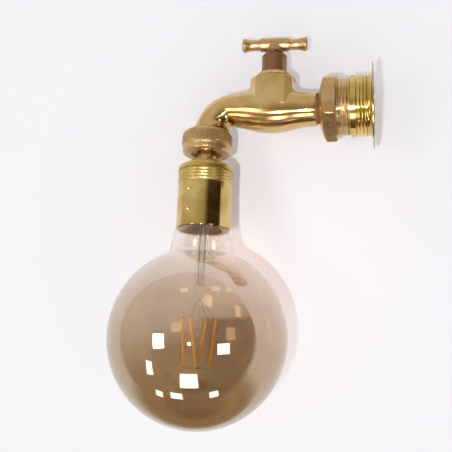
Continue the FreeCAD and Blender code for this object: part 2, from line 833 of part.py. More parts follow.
disc_foot = "(%s + jumper_washer_thickness)" % jumper_foot
piece(turned("jumper", [
    ("0", jumper_foot + " - jumper_nut_thickness"),
    ("jumper_stud_radius", jumper_foot + " - jumper_nut_thickness"),
    ("jumper_stud_radius", disc_foot),
    ("jumper_radius", disc_foot),
    ("jumper_radius", jumper_top),
    ("jumper_stem_radius", jumper_top),
    ("jumper_stem_radius", jumper_top + " + jumper_stem_length"),
    ("0", jumper_top + " + jumper_stem_length"),
], at=HEAD), "jumper")

piece(turned("jumper_washer", [
    ("jumper_stud_radius", jumper_foot),
    ("jumper_radius", jumper_foot),
    ("jumper_radius", disc_foot),
    ("jumper_stud_radius", disc_foot),
], at=HEAD), "jumper_washer")

nut_foot = ("-head_distance", "0", jumper_foot + " - jumper_nut_thickness")
nut_bar = hexagon("jumper_nut_bar", "jumper_nut_width", "jumper_nut_thickness", nut_foot)
nut_eye = rod("jumper_nut_eye", "jumper_stud_radius", "jumper_nut_thickness", nut_foot)
piece(cut("jumper_nut", nut_bar, [nut_eye]), "jumper_nut")


# ---------------------------------------------------------------------------- handle


def crossbar(name, corners):
    """A piece turned about the crossbar's own axis, then swung to the handle's rest."""
    body = turned(name, corners, about="X", at=("-head_distance", "0", "handle_height"))
    body.Placement = Placement(Vector(), Rotation(Vector(0, 0, 1), SIZES["handle_turn"]))
    return body


half_barrel = "(barrel_length / 2)"
barrel = crossbar("barrel", [
    ("-" + half_barrel, "grip_tenon_radius"),
    ("-" + half_barrel, "barrel_radius"),
    (half_barrel, "barrel_radius"),
    (half_barrel, "grip_tenon_radius"),
    (half_barrel + " - grip_tenon_length", "grip_tenon_radius"),
    (half_barrel + " - grip_tenon_length", "0"),
    ("-%s + grip_tenon_length" % half_barrel, "0"),
    ("-%s + grip_tenon_length" % half_barrel, "grip_tenon_radius"),
])
ring_top = "(handle_ring_bottom + handle_ring_height)"
neck = turned("handle_neck", [
    ("0", hub_foot),
    ("handle_neck_radius", hub_foot),
    ("handle_neck_radius", "handle_ring_bottom"),
    ("handle_ring_radius", "handle_ring_bottom"),
    ("handle_ring_radius", ring_top),
    ("handle_neck_radius", ring_top + " + handle_ring_radius - handle_neck_radius"),
    ("handle_neck_radius", "handle_height - barrel_radius / 2"),
    ("0", "handle_height - barrel_radius / 2"),
], at=HEAD)
tenon_socket = rod("tenon_socket", "handle_tenon_radius", "handle_height - %s" % hub_foot,
                   ("-head_distance", "0", hub_foot))
hub_solid = joined("hub_solid", [barrel, neck])
piece(cut("handle_hub", hub_solid, [tenon_socket, handle_pin("hub_pin_hole")]), "handle_hub")


def grip(name, side):
    """One arm of the crossbar, waisted between its root and its swollen end."""
    root = "%d * %s" % (side, half_barrel)
    tip = "%d * (%s + grip_length)" % (side, half_barrel)
    waist = "%d * (%s + grip_waist_distance)" % (side, half_barrel)
    tenon = "%d * (%s - grip_tenon_length + handle_gap)" % (side, half_barrel)
    body = crossbar(name, [
        (tenon, "0"),
        (tenon, "grip_tenon_radius"),
        (root, "grip_tenon_radius"),
        (root, "grip_root_radius"),
        (waist, "grip_waist_radius", "arc"),
        (tip, "grip_end_radius"),
        (tip, "0"),
    ])
    return piece(rounded(body, "grip_edge_radius", [(tip, "grip_end_radius")], about="X"), name)


grip("handle_grip_left", -1)
grip("handle_grip_right", 1)


# ---------------------------------------------------------------------------- union

nut_outline = [
    ("outlet_thread_radius + thread_play", "-union_top"),
    ("union_radius", "-union_top"),
    ("union_radius", "-union_band_bottom"),
    ("union_radius - union_step", "-union_band_bottom - union_step"),
    ("union_radius - union_step", "-union_bevel_top"),
    ("union_bevel_radius", "-union_bottom"),
    ("union_lip_radius", "-union_bottom"),
    ("union_lip_radius", "-lip_top"),
    ("outlet_thread_radius + thread_play", "-lip_top"),
]
union_nut = turned("union_nut", nut_outline, at=DROP)
piece(rounded(union_nut, "union_edge_radius", [("union_radius", "-union_top")]), "union_nut")

piece(turned("union_washer", [
    ("outlet_bore_radius", "-washer_foot"),
    ("nipple_flange_radius", "-washer_foot"),
    ("nipple_flange_radius", "-outlet_end"),
    ("outlet_bore_radius", "-outlet_end"),
], at=DROP), "union_washer")

piece(turned("nipple", [
    ("nipple_bore_radius", "-washer_foot"),
    ("nipple_flange_radius", "-washer_foot"),
    ("nipple_flange_radius", "-lip_top"),
    ("nipple_radius", "-lip_top"),
    ("nipple_radius", "-holder_top"),
    ("nipple_thread_radius", "-holder_top"),
    ("nipple_thread_radius", "-holder_top - nipple_thread_length"),
    ("nipple_bore_radius", "-holder_top - nipple_thread_length"),
], at=DROP), "nipple")

locknut_place = ("-reach", "0", "-holder_top - holder_plate - locknut_thickness")
locknut_bar = hexagon("locknut_bar", "locknut_width", "locknut_thickness", locknut_place)
locknut_eye = rod("locknut_eye", "nipple_thread_radius + thread_play", "locknut_thickness", locknut_place)
piece(cut("holder_locknut", locknut_bar, [locknut_eye]), "holder_locknut")


# ---------------------------------------------------------------------------- lampholder

collar_foot = "(holder_top + holder_collar_height)"
dome_edge = "(holder_top + holder_collar_height + holder_dome_drop)"
holder_cap = turned("holder_cap", [
    ("nipple_thread_radius + thread_play", "-holder_top"),
    ("holder_collar_top_radius", "-holder_top"),
    ("holder_collar_radius", "-holder_top - holder_collar_bevel"),
    ("holder_collar_radius", "-" + collar_foot),
    ("holder_dome_radius", "-" + dome_edge),
    ("holder_cap_radius", "-holder_cap_edge"),
    ("holder_cap_radius", "-holder_joint"),
    ("holder_skirt_radius", "-holder_joint"),
    ("holder_skirt_radius", "-holder_skirt_bottom"),
    ("holder_skirt_radius - holder_wall", "-holder_skirt_bottom"),
    ("holder_skirt_radius - holder_wall", "-holder_cap_edge - holder_wall"),
    ("holder_dome_radius - holder_wall", "-%s - holder_wall" % dome_edge),
    ("holder_collar_radius - holder_collar_wall", "-%s - holder_wall" % collar_foot),
    ("holder_collar_radius - holder_collar_wall", "-holder_top - holder_plate"),
    ("nipple_thread_radius + thread_play", "-holder_top - holder_plate"),
], at=DROP)
rounded(holder_cap, "holder_wall", [("holder_dome_radius", "-" + dome_edge),
                                    ("holder_cap_radius", "-holder_cap_edge"),
                                    ("holder_collar_radius", "-holder_top - holder_collar_bevel")])
piece(holder_cap, "holder_cap")

shell_top = "(holder_joint + holder_joint_gap)"
piece(turned("holder_shell", [
    ("holder_skirt_radius + thread_play", "-" + shell_top),
    ("shell_band_radius", "-" + shell_top),
    ("shell_band_radius", "-shell_band_bottom"),
    ("shell_radius", "-shell_band_bottom - shell_wall"),
    ("shell_radius", "-shell_bottom"),
    ("shell_radius - shell_wall", "-shell_bottom"),
    ("shell_radius - shell_wall", "-shell_band_bottom - shell_wall"),
    ("holder_skirt_radius + thread_play", "-shell_band_bottom"),
], at=DROP), "holder_shell")

socket_outside = "(socket_radius + socket_wall)"
piece(turned("holder_insert", [
    ("0", "-insert_disc_top"),
    ("insert_disc_radius", "-insert_disc_top"),
    ("insert_disc_radius", "-insert_disc_bottom"),
    ("insert_skirt_radius", "-insert_disc_bottom"),
    ("insert_skirt_radius", "-insert_skirt_bottom"),
    (socket_outside + " + thread_play", "-insert_skirt_bottom"),
    (socket_outside + " + thread_play", "-insert_disc_bottom"),
    ("0", "-insert_disc_bottom"),
], at=DROP), "holder_insert")

piece(turned("screw_shell", [
    ("lamp_insulator_radius", "-insert_disc_bottom"),
    (socket_outside, "-insert_disc_bottom"),
    (socket_outside, "-socket_bottom"),
    ("socket_radius", "-socket_bottom"),
    ("socket_radius", "-insert_disc_bottom - socket_wall"),
    ("lamp_insulator_radius", "-insert_disc_bottom - socket_wall"),
], at=DROP), "screw_shell")

contact_corner = ("-reach - lamp_contact_radius", "-contact_width / 2",
                  "-insert_disc_bottom - contact_thickness")
contact = block("contact", "2 * lamp_contact_radius", "contact_width", "contact_thickness", contact_corner)
piece(contact, "centre_contact")


def holder_terminal(name, turn):
    """A clamp on the insert's top face, on one of the four sides of the axis."""
    way = Vector(math.cos(math.radians(turn)), math.sin(math.radians(turn)), 0)
    middle = ("-reach + %d * terminal_offset" % round(way.x), "%d * terminal_offset" % round(way.y))
    corner = (middle[0] + " - terminal_width / 2", middle[1] + " - terminal_width / 2", "-insert_disc_top")
    clamp = block(name + "_bar", "terminal_width", "terminal_width", "terminal_thickness", corner)
    centre = (middle[0], middle[1], "-insert_disc_top")
    hole_bar = rod(name + "_hole", "clamp_screw_radius", "terminal_thickness", centre)
    piece(cut(name, clamp, [hole_bar]), name)
    return rod(name + "_screw", "clamp_screw_radius", "terminal_thickness", centre)


terminal_turns = {"live_terminal": 180, "neutral_terminal": 0, "earth_terminal": 90}
holder_screws = [holder_terminal(name, turn) for name, turn in terminal_turns.items()]
piece(together("holder_terminal_screws", holder_screws), "holder_terminal_screws")


# ---------------------------------------------------------------------------- lamp

contact_foot = "(lamp_top + lamp_contact_thickness)"
insulator_foot = "(lamp_top + lamp_contact_thickness + lamp_insulator_depth)"
piece(turned("lamp_contact", [
    ("0", "-" + contact_foot),
    ("lamp_contact_radius", "-" + contact_foot),
    ("lamp_contact_radius - lamp_contact_thickness", "-lamp_top"),
    ("0", "-lamp_top"),
], at=DROP), "lamp_contact")

piece(turned("lamp_insulator", [
    ("0", "-%s" % insulator_foot),
    ("lamp_insulator_radius", "-%s" % insulator_foot),
    ("lamp_insulator_radius", "-%s + lamp_cap_wall" % insulator_foot),
    ("lamp_contact_radius", "-" + contact_foot),
    ("0", "-" + contact_foot),
], at=DROP), "lamp_insulator")

piece(turned("lamp_cap", [
    ("lamp_insulator_radius", "-%s" % insulator_foot),
    ("lamp_insulator_radius", "-%s + lamp_cap_wall" % insulator_foot),
    ("lamp_cap_radius", "-%s - lamp_cap_wall" % insulator_foot),
    ("lamp_cap_radius", "-lamp_cap_bottom"),
    ("lamp_cap_bore", "-lamp_cap_bottom"),
    ("lamp_cap_bore", "-%s - 2 * lamp_cap_wall" % insulator_foot),
], at=DROP), "lamp_cap")

driver_corner = ("-reach - lamp_cap_bore + handle_gap", "-driver_thickness / 2",
                 "-driver_top - driver_height")
piece(block("lamp_driver", "2 * lamp_cap_bore - 2 * handle_gap", "driver_thickness", "driver_height",
            driver_corner), "lamp_driver")


def globe_start(wall):
    """Height at which the globe's sphere meets the neck's end."""
    return "(globe_centre - sqrt((globe_radius - %s)^2 - (glass_mouth_radius - %s)^2))" % (wall, wall)


def globe_side(wall):
    """A point on the sphere's equator, and its foot."""
    return ("globe_radius - " + wall, "-globe_centre", "arc"), ("0", "-globe_centre - globe_radius + " + wall)


side, foot = globe_side("0")
inner_side, inner_foot = globe_side("glass_wall")
piece(turned("lamp_glass", [
    ("glass_tail_radius", "-glass_tail_top"),
    ("glass_tail_radius", "-glass_flare_top"),
    ("glass_rim_radius", "-shell_bottom"),
    ("glass_shoulder_radius", "-glass_shoulder"),
    ("glass_neck_radius", "-glass_neck"),
    ("glass_mouth_radius", "-" + globe_start("0")),
    side,
    foot,
    inner_foot,
    inner_side,
    ("glass_mouth_radius - glass_wall", "-" + globe_start("glass_wall")),
    ("glass_neck_radius - glass_wall", "-glass_neck"),
    ("glass_shoulder_radius - glass_wall", "-glass_shoulder"),
    ("glass_rim_radius - glass_wall", "-shell_bottom - glass_wall / 2"),
    ("glass_tail_radius - glass_wall", "-glass_flare_top - glass_wall"),
    ("glass_tail_radius - glass_wall", "-glass_tail_top"),
], at=DROP), "lamp_glass")

piece(turned("lamp_stem", [
    ("stem_flare_radius", "-stem_flare_top"),
    ("stem_flare_radius", "-stem_flare_top - glass_wall"),
    ("stem_radius", "-stem_tube_top"),
    ("stem_radius", "-stem_pinch_top"),
    ("stem_bore_radius", "-stem_tip"),
    ("0", "-stem_tip"),
    ("0", "-stem_pinch_top"),
    ("stem_bore_radius", "-stem_pinch_top"),
    ("stem_bore_radius", "-stem_tube_top"),
], at=DROP), "lamp_stem")


def straight_wire(start, end, radius):
    """A round wire between two points."""
    way = end - start
    return Part.makeCylinder(radius, way.Length, start, way)


def on_circle(turn, radius, height):
    """A point round the lamp's axis, height measured down from the origin."""
    return Vector(-SIZES["reach"] + radius * math.cos(math.radians(turn)),
                  radius * math.sin(math.radians(turn)), -height)


def filament_ends():
    """Top and bottom of each filament, hung on a slant round the axis."""
    count = int(SIZES["filament_count"])
    for index in range(count):
        turn = SIZES["filament_start_turn"] + 360.0 / count * index
        top = on_circle(turn, SIZES["filament_top_circle"], number("filament_top"))
        bottom = on_circle(turn + SIZES["filament_slant_turn"], SIZES["filament_bottom_circle"],
                           number("filament_bottom"))
        yield top, bottom


filaments = [straight_wire(top, bottom, SIZES["filament_radius"]) for top, bottom in filament_ends()]
piece(own_shape("lamp_filaments", Part.makeCompound(filaments)), "lamp_filaments")


def filament_cage():
    """Wires that carry the filaments: spokes from the stem's tip to their tops, and one
    long wire from the stem down to spokes under their lower ends."""
    thin = SIZES["support_radius"]
    tip = on_circle(0, 0, number("stem_tip"))
    foot = on_circle(0, 0, number("filament_bottom") + SIZES["filament_radius"])
    cage = Part.makeCylinder(thin, (foot - tip).Length + thin, foot - Vector(0, 0, thin))
    for top, bottom in filament_ends():
        above = top + Vector(0, 0, thin)
        below = bottom - Vector(0, 0, thin)
        cage = cage.fuse([straight_wire(tip, above, thin), straight_wire(foot, below, thin)])
    stem = Part.makeCylinder(SIZES["stem_radius"], number("stem_tip"), on_circle(0, 0, number("stem_tip")))
    return cage.cut([stem] + filaments)


piece(own_shape("filament_supports", filament_cage()), "filament_supports")


def lamp_leads():
    """Two wires from the driver board down the stem to its pinch."""
    top = number("driver_top") + SIZES["driver_height"]
    wires = []
    for side in (-1, 1):
        shift = Vector(side * SIZES["lead_spacing"], 0, 0)
        start = on_circle(0, 0, top) + shift
        end = on_circle(0, 0, number("stem_pinch_top")) + shift
        wires.append(straight_wire(start, end, SIZES["lead_radius"]))
    return Part.makeCompound(wires)


piece(own_shape("lamp_leads", lamp_leads()), "lamp_leads")


# ---------------------------------------------------------------------------- cores


def core(name, pole, terminal, spread_turn):
    """One insulated core from its pole of the terminal block, through the tap under the
    valve seat and round the spout, down the nipple to its clamp in the lampholder."""
    spread = SIZES["core_spread"]
    beside = spread * math.cos(math.radians(spread_turn))
    over = spread * math.sin(math.radians(spread_turn))
    block_front = number("-reducer_end - block_setback - block_length")
    insert_face = number("-reducer_end - block_setback - (block_length + insert_length) / 2")
    pole_height = pole * SIZES["pole_pitch"]
    drop_line = -SIZES["reach"] + SIZES["neck_offset"] / 4
    low = -SIZES["core_rest_drop"]
    turn = math.radians(terminal_turns[terminal])
    clamp = Vector(math.cos(turn), math.sin(turn), 0) * SIZES["terminal_offset"]
    clamp_top = number("insert_disc_top") - SIZES["terminal_thickness"]
    points = [
        Vector(insert_face, 0, pole_height),
        Vector(block_front - SIZES["core_radius"], 0, pole_height),
        Vector(number("core_inlet_run - " + inlet_shoulder), beside, low + over),
        Vector(-SIZES["head_distance"] - SIZES["seat_bore_radius"], beside, low + over),
        Vector(number("-" + bend_start) - spread, beside, SIZES["spout_rise"] / 2 + over),
        Vector(drop_line - over, beside, -number("outlet_shoulder") / 3),
        Vector(-SIZES["reach"] - over, beside, -number("outlet_end + core_outlet_run")),
        Vector(-SIZES["reach"] - over, beside, -number("holder_top") - SIZES["core_corner_drop"]),
        Vector(clamp.x - SIZES["reach"], clamp.y, -clamp_top + 2 * SIZES["core_radius"]),
    ]
    piece(own_shape(name, tube_along(points, SIZES["core_radius"])), name)


core("live_core", 1, "live_terminal", 90)
core("neutral_core", -1, "neutral_terminal", 210)
core("earth_core", 0, "earth_terminal", 330)


# ---------------------------------------------------------------------------- checks and files

doc.recompute()
failed = [thing.Label for thing in doc.Objects if "Invalid" in thing.State or "Error" in thing.State]
for thing in pieces:
    if thing.Shape.isNull() or not thing.Shape.isValid() or not thing.Shape.Solids:
        failed.append(thing.Label)
if failed:
    raise RuntimeError("failed: %s" % ", ".join(failed))

os.makedirs("parts", exist_ok=True)
for thing in pieces:
    thing.Shape.exportStep("parts/%s.step" % thing.Label)
print(len(pieces), "pieces written")
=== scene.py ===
import bmesh
import bpy
import json
import math
from mathutils import Matrix, Vector


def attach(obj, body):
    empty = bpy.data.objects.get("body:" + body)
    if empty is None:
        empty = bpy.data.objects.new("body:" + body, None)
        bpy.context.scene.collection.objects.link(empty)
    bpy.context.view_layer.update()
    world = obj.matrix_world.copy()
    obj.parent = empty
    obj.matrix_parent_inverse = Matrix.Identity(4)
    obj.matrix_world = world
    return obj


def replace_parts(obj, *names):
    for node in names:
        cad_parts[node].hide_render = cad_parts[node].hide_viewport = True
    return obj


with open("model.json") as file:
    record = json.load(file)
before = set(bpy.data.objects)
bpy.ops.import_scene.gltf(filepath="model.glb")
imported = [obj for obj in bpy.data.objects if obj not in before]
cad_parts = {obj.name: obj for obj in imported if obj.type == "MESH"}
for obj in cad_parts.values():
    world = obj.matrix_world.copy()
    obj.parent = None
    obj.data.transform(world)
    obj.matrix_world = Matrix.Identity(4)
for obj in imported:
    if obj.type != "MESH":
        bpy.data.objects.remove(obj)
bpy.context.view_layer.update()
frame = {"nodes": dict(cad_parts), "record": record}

# Sizes are in millimetres in the part's own frame: the wall is at X = 0, the tap runs along -X,
# and Z is up.  The stage, the lamps' distances and the camera's clip are in metres.
MM = 0.001
HEAD_X = -71.8      # the axis of the boss, the gland nut and the handle
DROP_X = -121.1     # the axis of the union nut, the lampholder and the globe


# ---------------------------------------------------------------------------- camera
# The camera stands where the circles of the ring, the nut and the globe look as they do in the
# picture.  Its angles are in degrees.

PICTURE_PIXELS = 452
FOCAL_PIXELS = 600
SENSOR = 36.0
NEAR_CLIP = 0.01
CAMERA_PLACE = Vector((4.55, -405.84, -176.12)) * MM
CAMERA_AZIMUTH = 14.98
CAMERA_ELEVATION = -12.2
CAMERA_ROLL = 2.36


def camera_axes():
    """The camera's right, up and viewing directions."""
    azimuth = math.radians(CAMERA_AZIMUTH)
    elevation = math.radians(CAMERA_ELEVATION)
    view = Vector((-math.sin(azimuth) * math.cos(elevation),
                   math.cos(azimuth) * math.cos(elevation),
                   -math.sin(elevation)))
    level = view.cross(Vector((0, 0, 1))).normalized()
    upright = level.cross(view)
    cosine, sine = math.cos(math.radians(CAMERA_ROLL)), math.sin(math.radians(CAMERA_ROLL))
    return level * cosine + upright * sine, upright * cosine - level * sine, view


def add_camera():
    """The camera that sees what the picture shows."""
    right, up, view = camera_axes()
    data = bpy.data.cameras.new("camera")
    data.sensor_width = SENSOR
    data.lens = FOCAL_PIXELS / PICTURE_PIXELS * SENSOR
    data.clip_start = NEAR_CLIP
    camera = bpy.data.objects.new("camera", data)
    turn = Matrix((right, up, -view)).transposed().to_4x4()
    camera.matrix_world = Matrix.Translation(CAMERA_PLACE) @ turn
    bpy.context.scene.collection.objects.link(camera)
    bpy.context.scene.camera = camera


add_camera()
bpy.context.scene.view_settings.view_transform = "Standard"


# ---------------------------------------------------------------------------- nodes and colours


def linear(hex_colour):
    """A colour written as in a paint program, for a shader."""
    channels = []
    for start in (0, 2, 4):
        share = int(hex_colour[start:start + 2], 16) / 255
        channels.append(share / 12.92 if share <= 0.04045 else ((share + 0.055) / 1.055) ** 2.4)
    return (*channels, 1.0)


def grey(level):
    """A level from 0 to 1, as a colour that a shader reads back as that level."""
    return (level, level, level, 1.0)


def per_metre(size):
    """How often a pattern of that size in millimetres repeats in a metre."""
    return 1 / (size * MM)


def add_node(tree, kind, inputs=None, stops=(), **settings):
    """A node with its settings made and its inputs set or linked.  A node given as an input
    is linked by the first of its outputs in use.  Stops are a colour ramp's places and
    colours, lowest first."""
    made = tree.nodes.new(kind)
    for name, setting in settings.items():
        setattr(made, name, setting)
    for name, source in (inputs or {}).items():
        if isinstance(source, bpy.types.Node):
            source = next(output for output in source.outputs if output.enabled)
        if isinstance(source, bpy.types.NodeSocket):
            tree.links.new(source, made.inputs[name])
        else:
            made.inputs[name].default_value = source
    for index, (place, colour) in enumerate(stops):
        elements = made.color_ramp.elements
        stop = elements[index] if index < len(elements) else elements.new(place)
        stop.position = place
        stop.color = colour
    return made


def new_material(name):
    """An empty material, with its node tree and the object coordinates to draw on it by."""
    material = bpy.data.materials.new(name)
    material.use_nodes = True
    tree = material.node_tree
    tree.nodes.clear()
    return material, tree, add_node(tree, "ShaderNodeTexCoord").outputs["Object"]


def mask(tree, edges):
    """1 where each edge is passed, 0 where one is not, and smooth between.  An edge is a
    value and the two levels at which it starts to count and counts in full."""
    share = 1.0
    for value, start, end in edges:
        passed = add_node(tree, "ShaderNodeMapRange", {
            "Value": value, "From Min": min(start, end), "From Max": max(start, end),
            "To Min": float(start > end), "To Max": float(end > start)},
            interpolation_type="SMOOTHSTEP")
        share = add_node(tree, "ShaderNodeMath", {0: share, 1: passed}, operation="MULTIPLY")
    return share


def between(tree, height, low, high):
    """1 between two heights in millimetres, softer at the upper one."""
    return mask(tree, [(height, (low - 0.5) * MM, (low + 0.5) * MM),
                       (height, (high + 2.0) * MM, (high - 1.0) * MM)])


# ---------------------------------------------------------------------------- finishes
# Patterns are as large as they are on the real surface, in millimetres, apart from the hairline
# marks and the fine grain, which are drawn coarser than they are so that they show.

TONE_PATCH = 16.667
GLOSS_PATCH = 7.143
HAIRLINE = 1.111
HAIRLINE_DEPTH = 0.4
MOTTLE = 10.0
FINE_GRAIN = 2.5
FINE_GRAIN_DEPTH = 0.3
GLASS_WAVE = 71.43
GLASS_WAVE_DEPTH = 2.0
GLASS_TOP = -88.0       # the height at which the glass comes out of the lampholder
GLASS_FOOT = -226.6     # the globe's lowest point
# painted shade: the dark brown laid over brass under the handle, and how much of it is laid on
PAINTED_SHADE = "7E5C3A"
PAINTED_SHADE_SHARE = 0.85
SATIN_ROUGHNESS = 0.16
BEND_CENTRE = Vector((-105.9, 0, -12.3)) * MM


def along_tube(tree, here):
    """The way the tap's tube runs: along X, then down round the centre of its bend."""
    from_bend = add_node(tree, "ShaderNodeVectorMath", {0: here, 1: BEND_CENTRE},
                         operation="SUBTRACT")
    parts = add_node(tree, "ShaderNodeSeparateXYZ", {0: from_bend})
    past = add_node(tree, "ShaderNodeMath", {0: parts.outputs["X"], 1: 0.0}, operation="MINIMUM")
    down = add_node(tree, "ShaderNodeMath", {0: past, 1: -1.0}, operation="MULTIPLY")
    above = add_node(tree, "ShaderNodeMath", {0: parts.outputs["Z"], 1: 0.1 * MM},
                     operation="MAXIMUM")
    way = add_node(tree, "ShaderNodeCombineXYZ", {"X": above, "Z": down})
    return add_node(tree, "ShaderNodeVectorMath", {0: way}, operation="NORMALIZE").outputs["Vector"]


def metal(name, light, dark, rough, wear=0.06, grain=0.02, soft_edge=0.2, painted_shade_heights=None,
          satin=None, drawn=0.0):
    """A metal whose tone and gloss drift, with hairline marks.  Its sharp edges catch the
    light as if rounded to soft_edge.  Between two heights it can carry painted shade, a
    dark brown laid on where the handle shades it, or be less shiny.  Drawn metal is
    polished along the tap's tube, so its reflections run long that way."""
    material, tree, here = new_material(name)
    height = add_node(tree, "ShaderNodeSeparateXYZ", {0: here}).outputs["Z"]

    drift = add_node(tree, "ShaderNodeTexNoise", {
        "Vector": here, "Scale": per_metre(TONE_PATCH), "Detail": 4.0})
    colour = add_node(tree, "ShaderNodeValToRGB", {"Fac": drift},
                      [(0.30, linear(dark)), (0.66, linear(light))])
    # painted shade: between two heights the colour is turned towards a dark brown, for the shade
    # the handle throws on the gland nut
    if painted_shade_heights:
        under_handle_shade = add_node(tree, "ShaderNodeMath", {
            0: between(tree, height, *painted_shade_heights), 1: PAINTED_SHADE_SHARE}, operation="MULTIPLY")
        colour = add_node(tree, "ShaderNodeMix", {
            "Factor": under_handle_shade, "A": colour, "B": linear(PAINTED_SHADE)}, data_type="RGBA")

    worn = add_node(tree, "ShaderNodeTexNoise", {
        "Vector": here, "Scale": per_metre(GLOSS_PATCH), "Detail": 5.0, "Roughness": 0.65})
    gloss = add_node(tree, "ShaderNodeValToRGB", {"Fac": worn},
                     [(0.3, grey(max(rough - wear, 0.02))), (0.7, grey(rough + wear))])
    if satin:
        duller = add_node(tree, "ShaderNodeMath", {
            0: between(tree, height, *satin), 1: SATIN_ROUGHNESS}, operation="MULTIPLY")
        gloss = add_node(tree, "ShaderNodeMath", {0: gloss, 1: duller}, operation="ADD")

    marks = add_node(tree, "ShaderNodeTexNoise", {
        "Vector": here, "Scale": per_metre(HAIRLINE), "Detail": 2.0, "Roughness": 0.6})
    edge = add_node(tree, "ShaderNodeBevel", {"Radius": soft_edge * MM}, samples=6)
    bump = add_node(tree, "ShaderNodeBump", {
        "Height": marks, "Strength": grain, "Distance": HAIRLINE_DEPTH * MM, "Normal": edge})

    inputs = {"Base Color": colour, "Metallic": 1.0, "Roughness": gloss, "Normal": bump}
    if drawn:
        inputs.update({"Anisotropic": drawn, "Tangent": along_tube(tree, here)})
    shader = add_node(tree, "ShaderNodeBsdfPrincipled", inputs)
    add_node(tree, "ShaderNodeOutputMaterial", {"Surface": shader})
    return material


def solid(name, light, dark, rough, grain=0.05):
    """A plastic, rubber, ceramic or board with a faint mottle and a fine surface."""
    material, tree, here = new_material(name)
    mottle = add_node(tree, "ShaderNodeTexNoise", {
        "Vector": here, "Scale": per_metre(MOTTLE), "Detail": 4.0})
    colour = add_node(tree, "ShaderNodeValToRGB", {"Fac": mottle},
                      [(0.3, linear(dark)), (0.7, linear(light))])
    fine = add_node(tree, "ShaderNodeTexNoise", {
        "Vector": here, "Scale": per_metre(FINE_GRAIN), "Detail": 3.0})
    bump = add_node(tree, "ShaderNodeBump", {
        "Height": fine, "Strength": grain, "Distance": FINE_GRAIN_DEPTH * MM})
    shader = add_node(tree, "ShaderNodeBsdfPrincipled", {
        "Base Color": colour, "Roughness": rough, "Normal": bump})
    add_node(tree, "ShaderNodeOutputMaterial", {"Surface": shader})
    return material


def glass(name, tints, mirrors, shade):
    """Blown glass.  Tints and mirrors are stops from the lamp's neck at 0 to the globe's
    foot at 1: the glass's colour, and how far it is silvered.  Light that casts shadows
    goes straight through, shaded."""
    material, tree, here = new_material(name)
    height = add_node(tree, "ShaderNodeSeparateXYZ", {0: here}).outputs["Z"]
    down = add_node(tree, "ShaderNodeMapRange", {
        "Value": height, "From Min": GLASS_TOP * MM, "From Max": GLASS_FOOT * MM})
    colour = add_node(tree, "ShaderNodeValToRGB", {"Fac": down},
                      [(place, linear(tint)) for place, tint in tints])
    silver = add_node(tree, "ShaderNodeValToRGB", {"Fac": down},
                      [(place, grey(level)) for place, level in mirrors])
    wave = add_node(tree, "ShaderNodeTexNoise", {
        "Vector": here, "Scale": per_metre(GLASS_WAVE), "Detail": 1.0})
    bump = add_node(tree, "ShaderNodeBump", {
        "Height": wave, "Strength": 0.04, "Distance": GLASS_WAVE_DEPTH * MM})
    clear = add_node(tree, "ShaderNodeBsdfPrincipled", {
        "Base Color": colour, "Metallic": silver, "Roughness": 0.0, "IOR": 1.45,
        "Transmission Weight": 1.0, "Normal": bump})
    shadow = add_node(tree, "ShaderNodeBsdfTransparent", {"Color": linear(shade)})
    casting = add_node(tree, "ShaderNodeLightPath").outputs["Is Shadow Ray"]
    both = add_node(tree, "ShaderNodeMixShader", {0: casting, 1: clear, 2: shadow})
    add_node(tree, "ShaderNodeOutputMaterial", {"Surface": both})
    return material


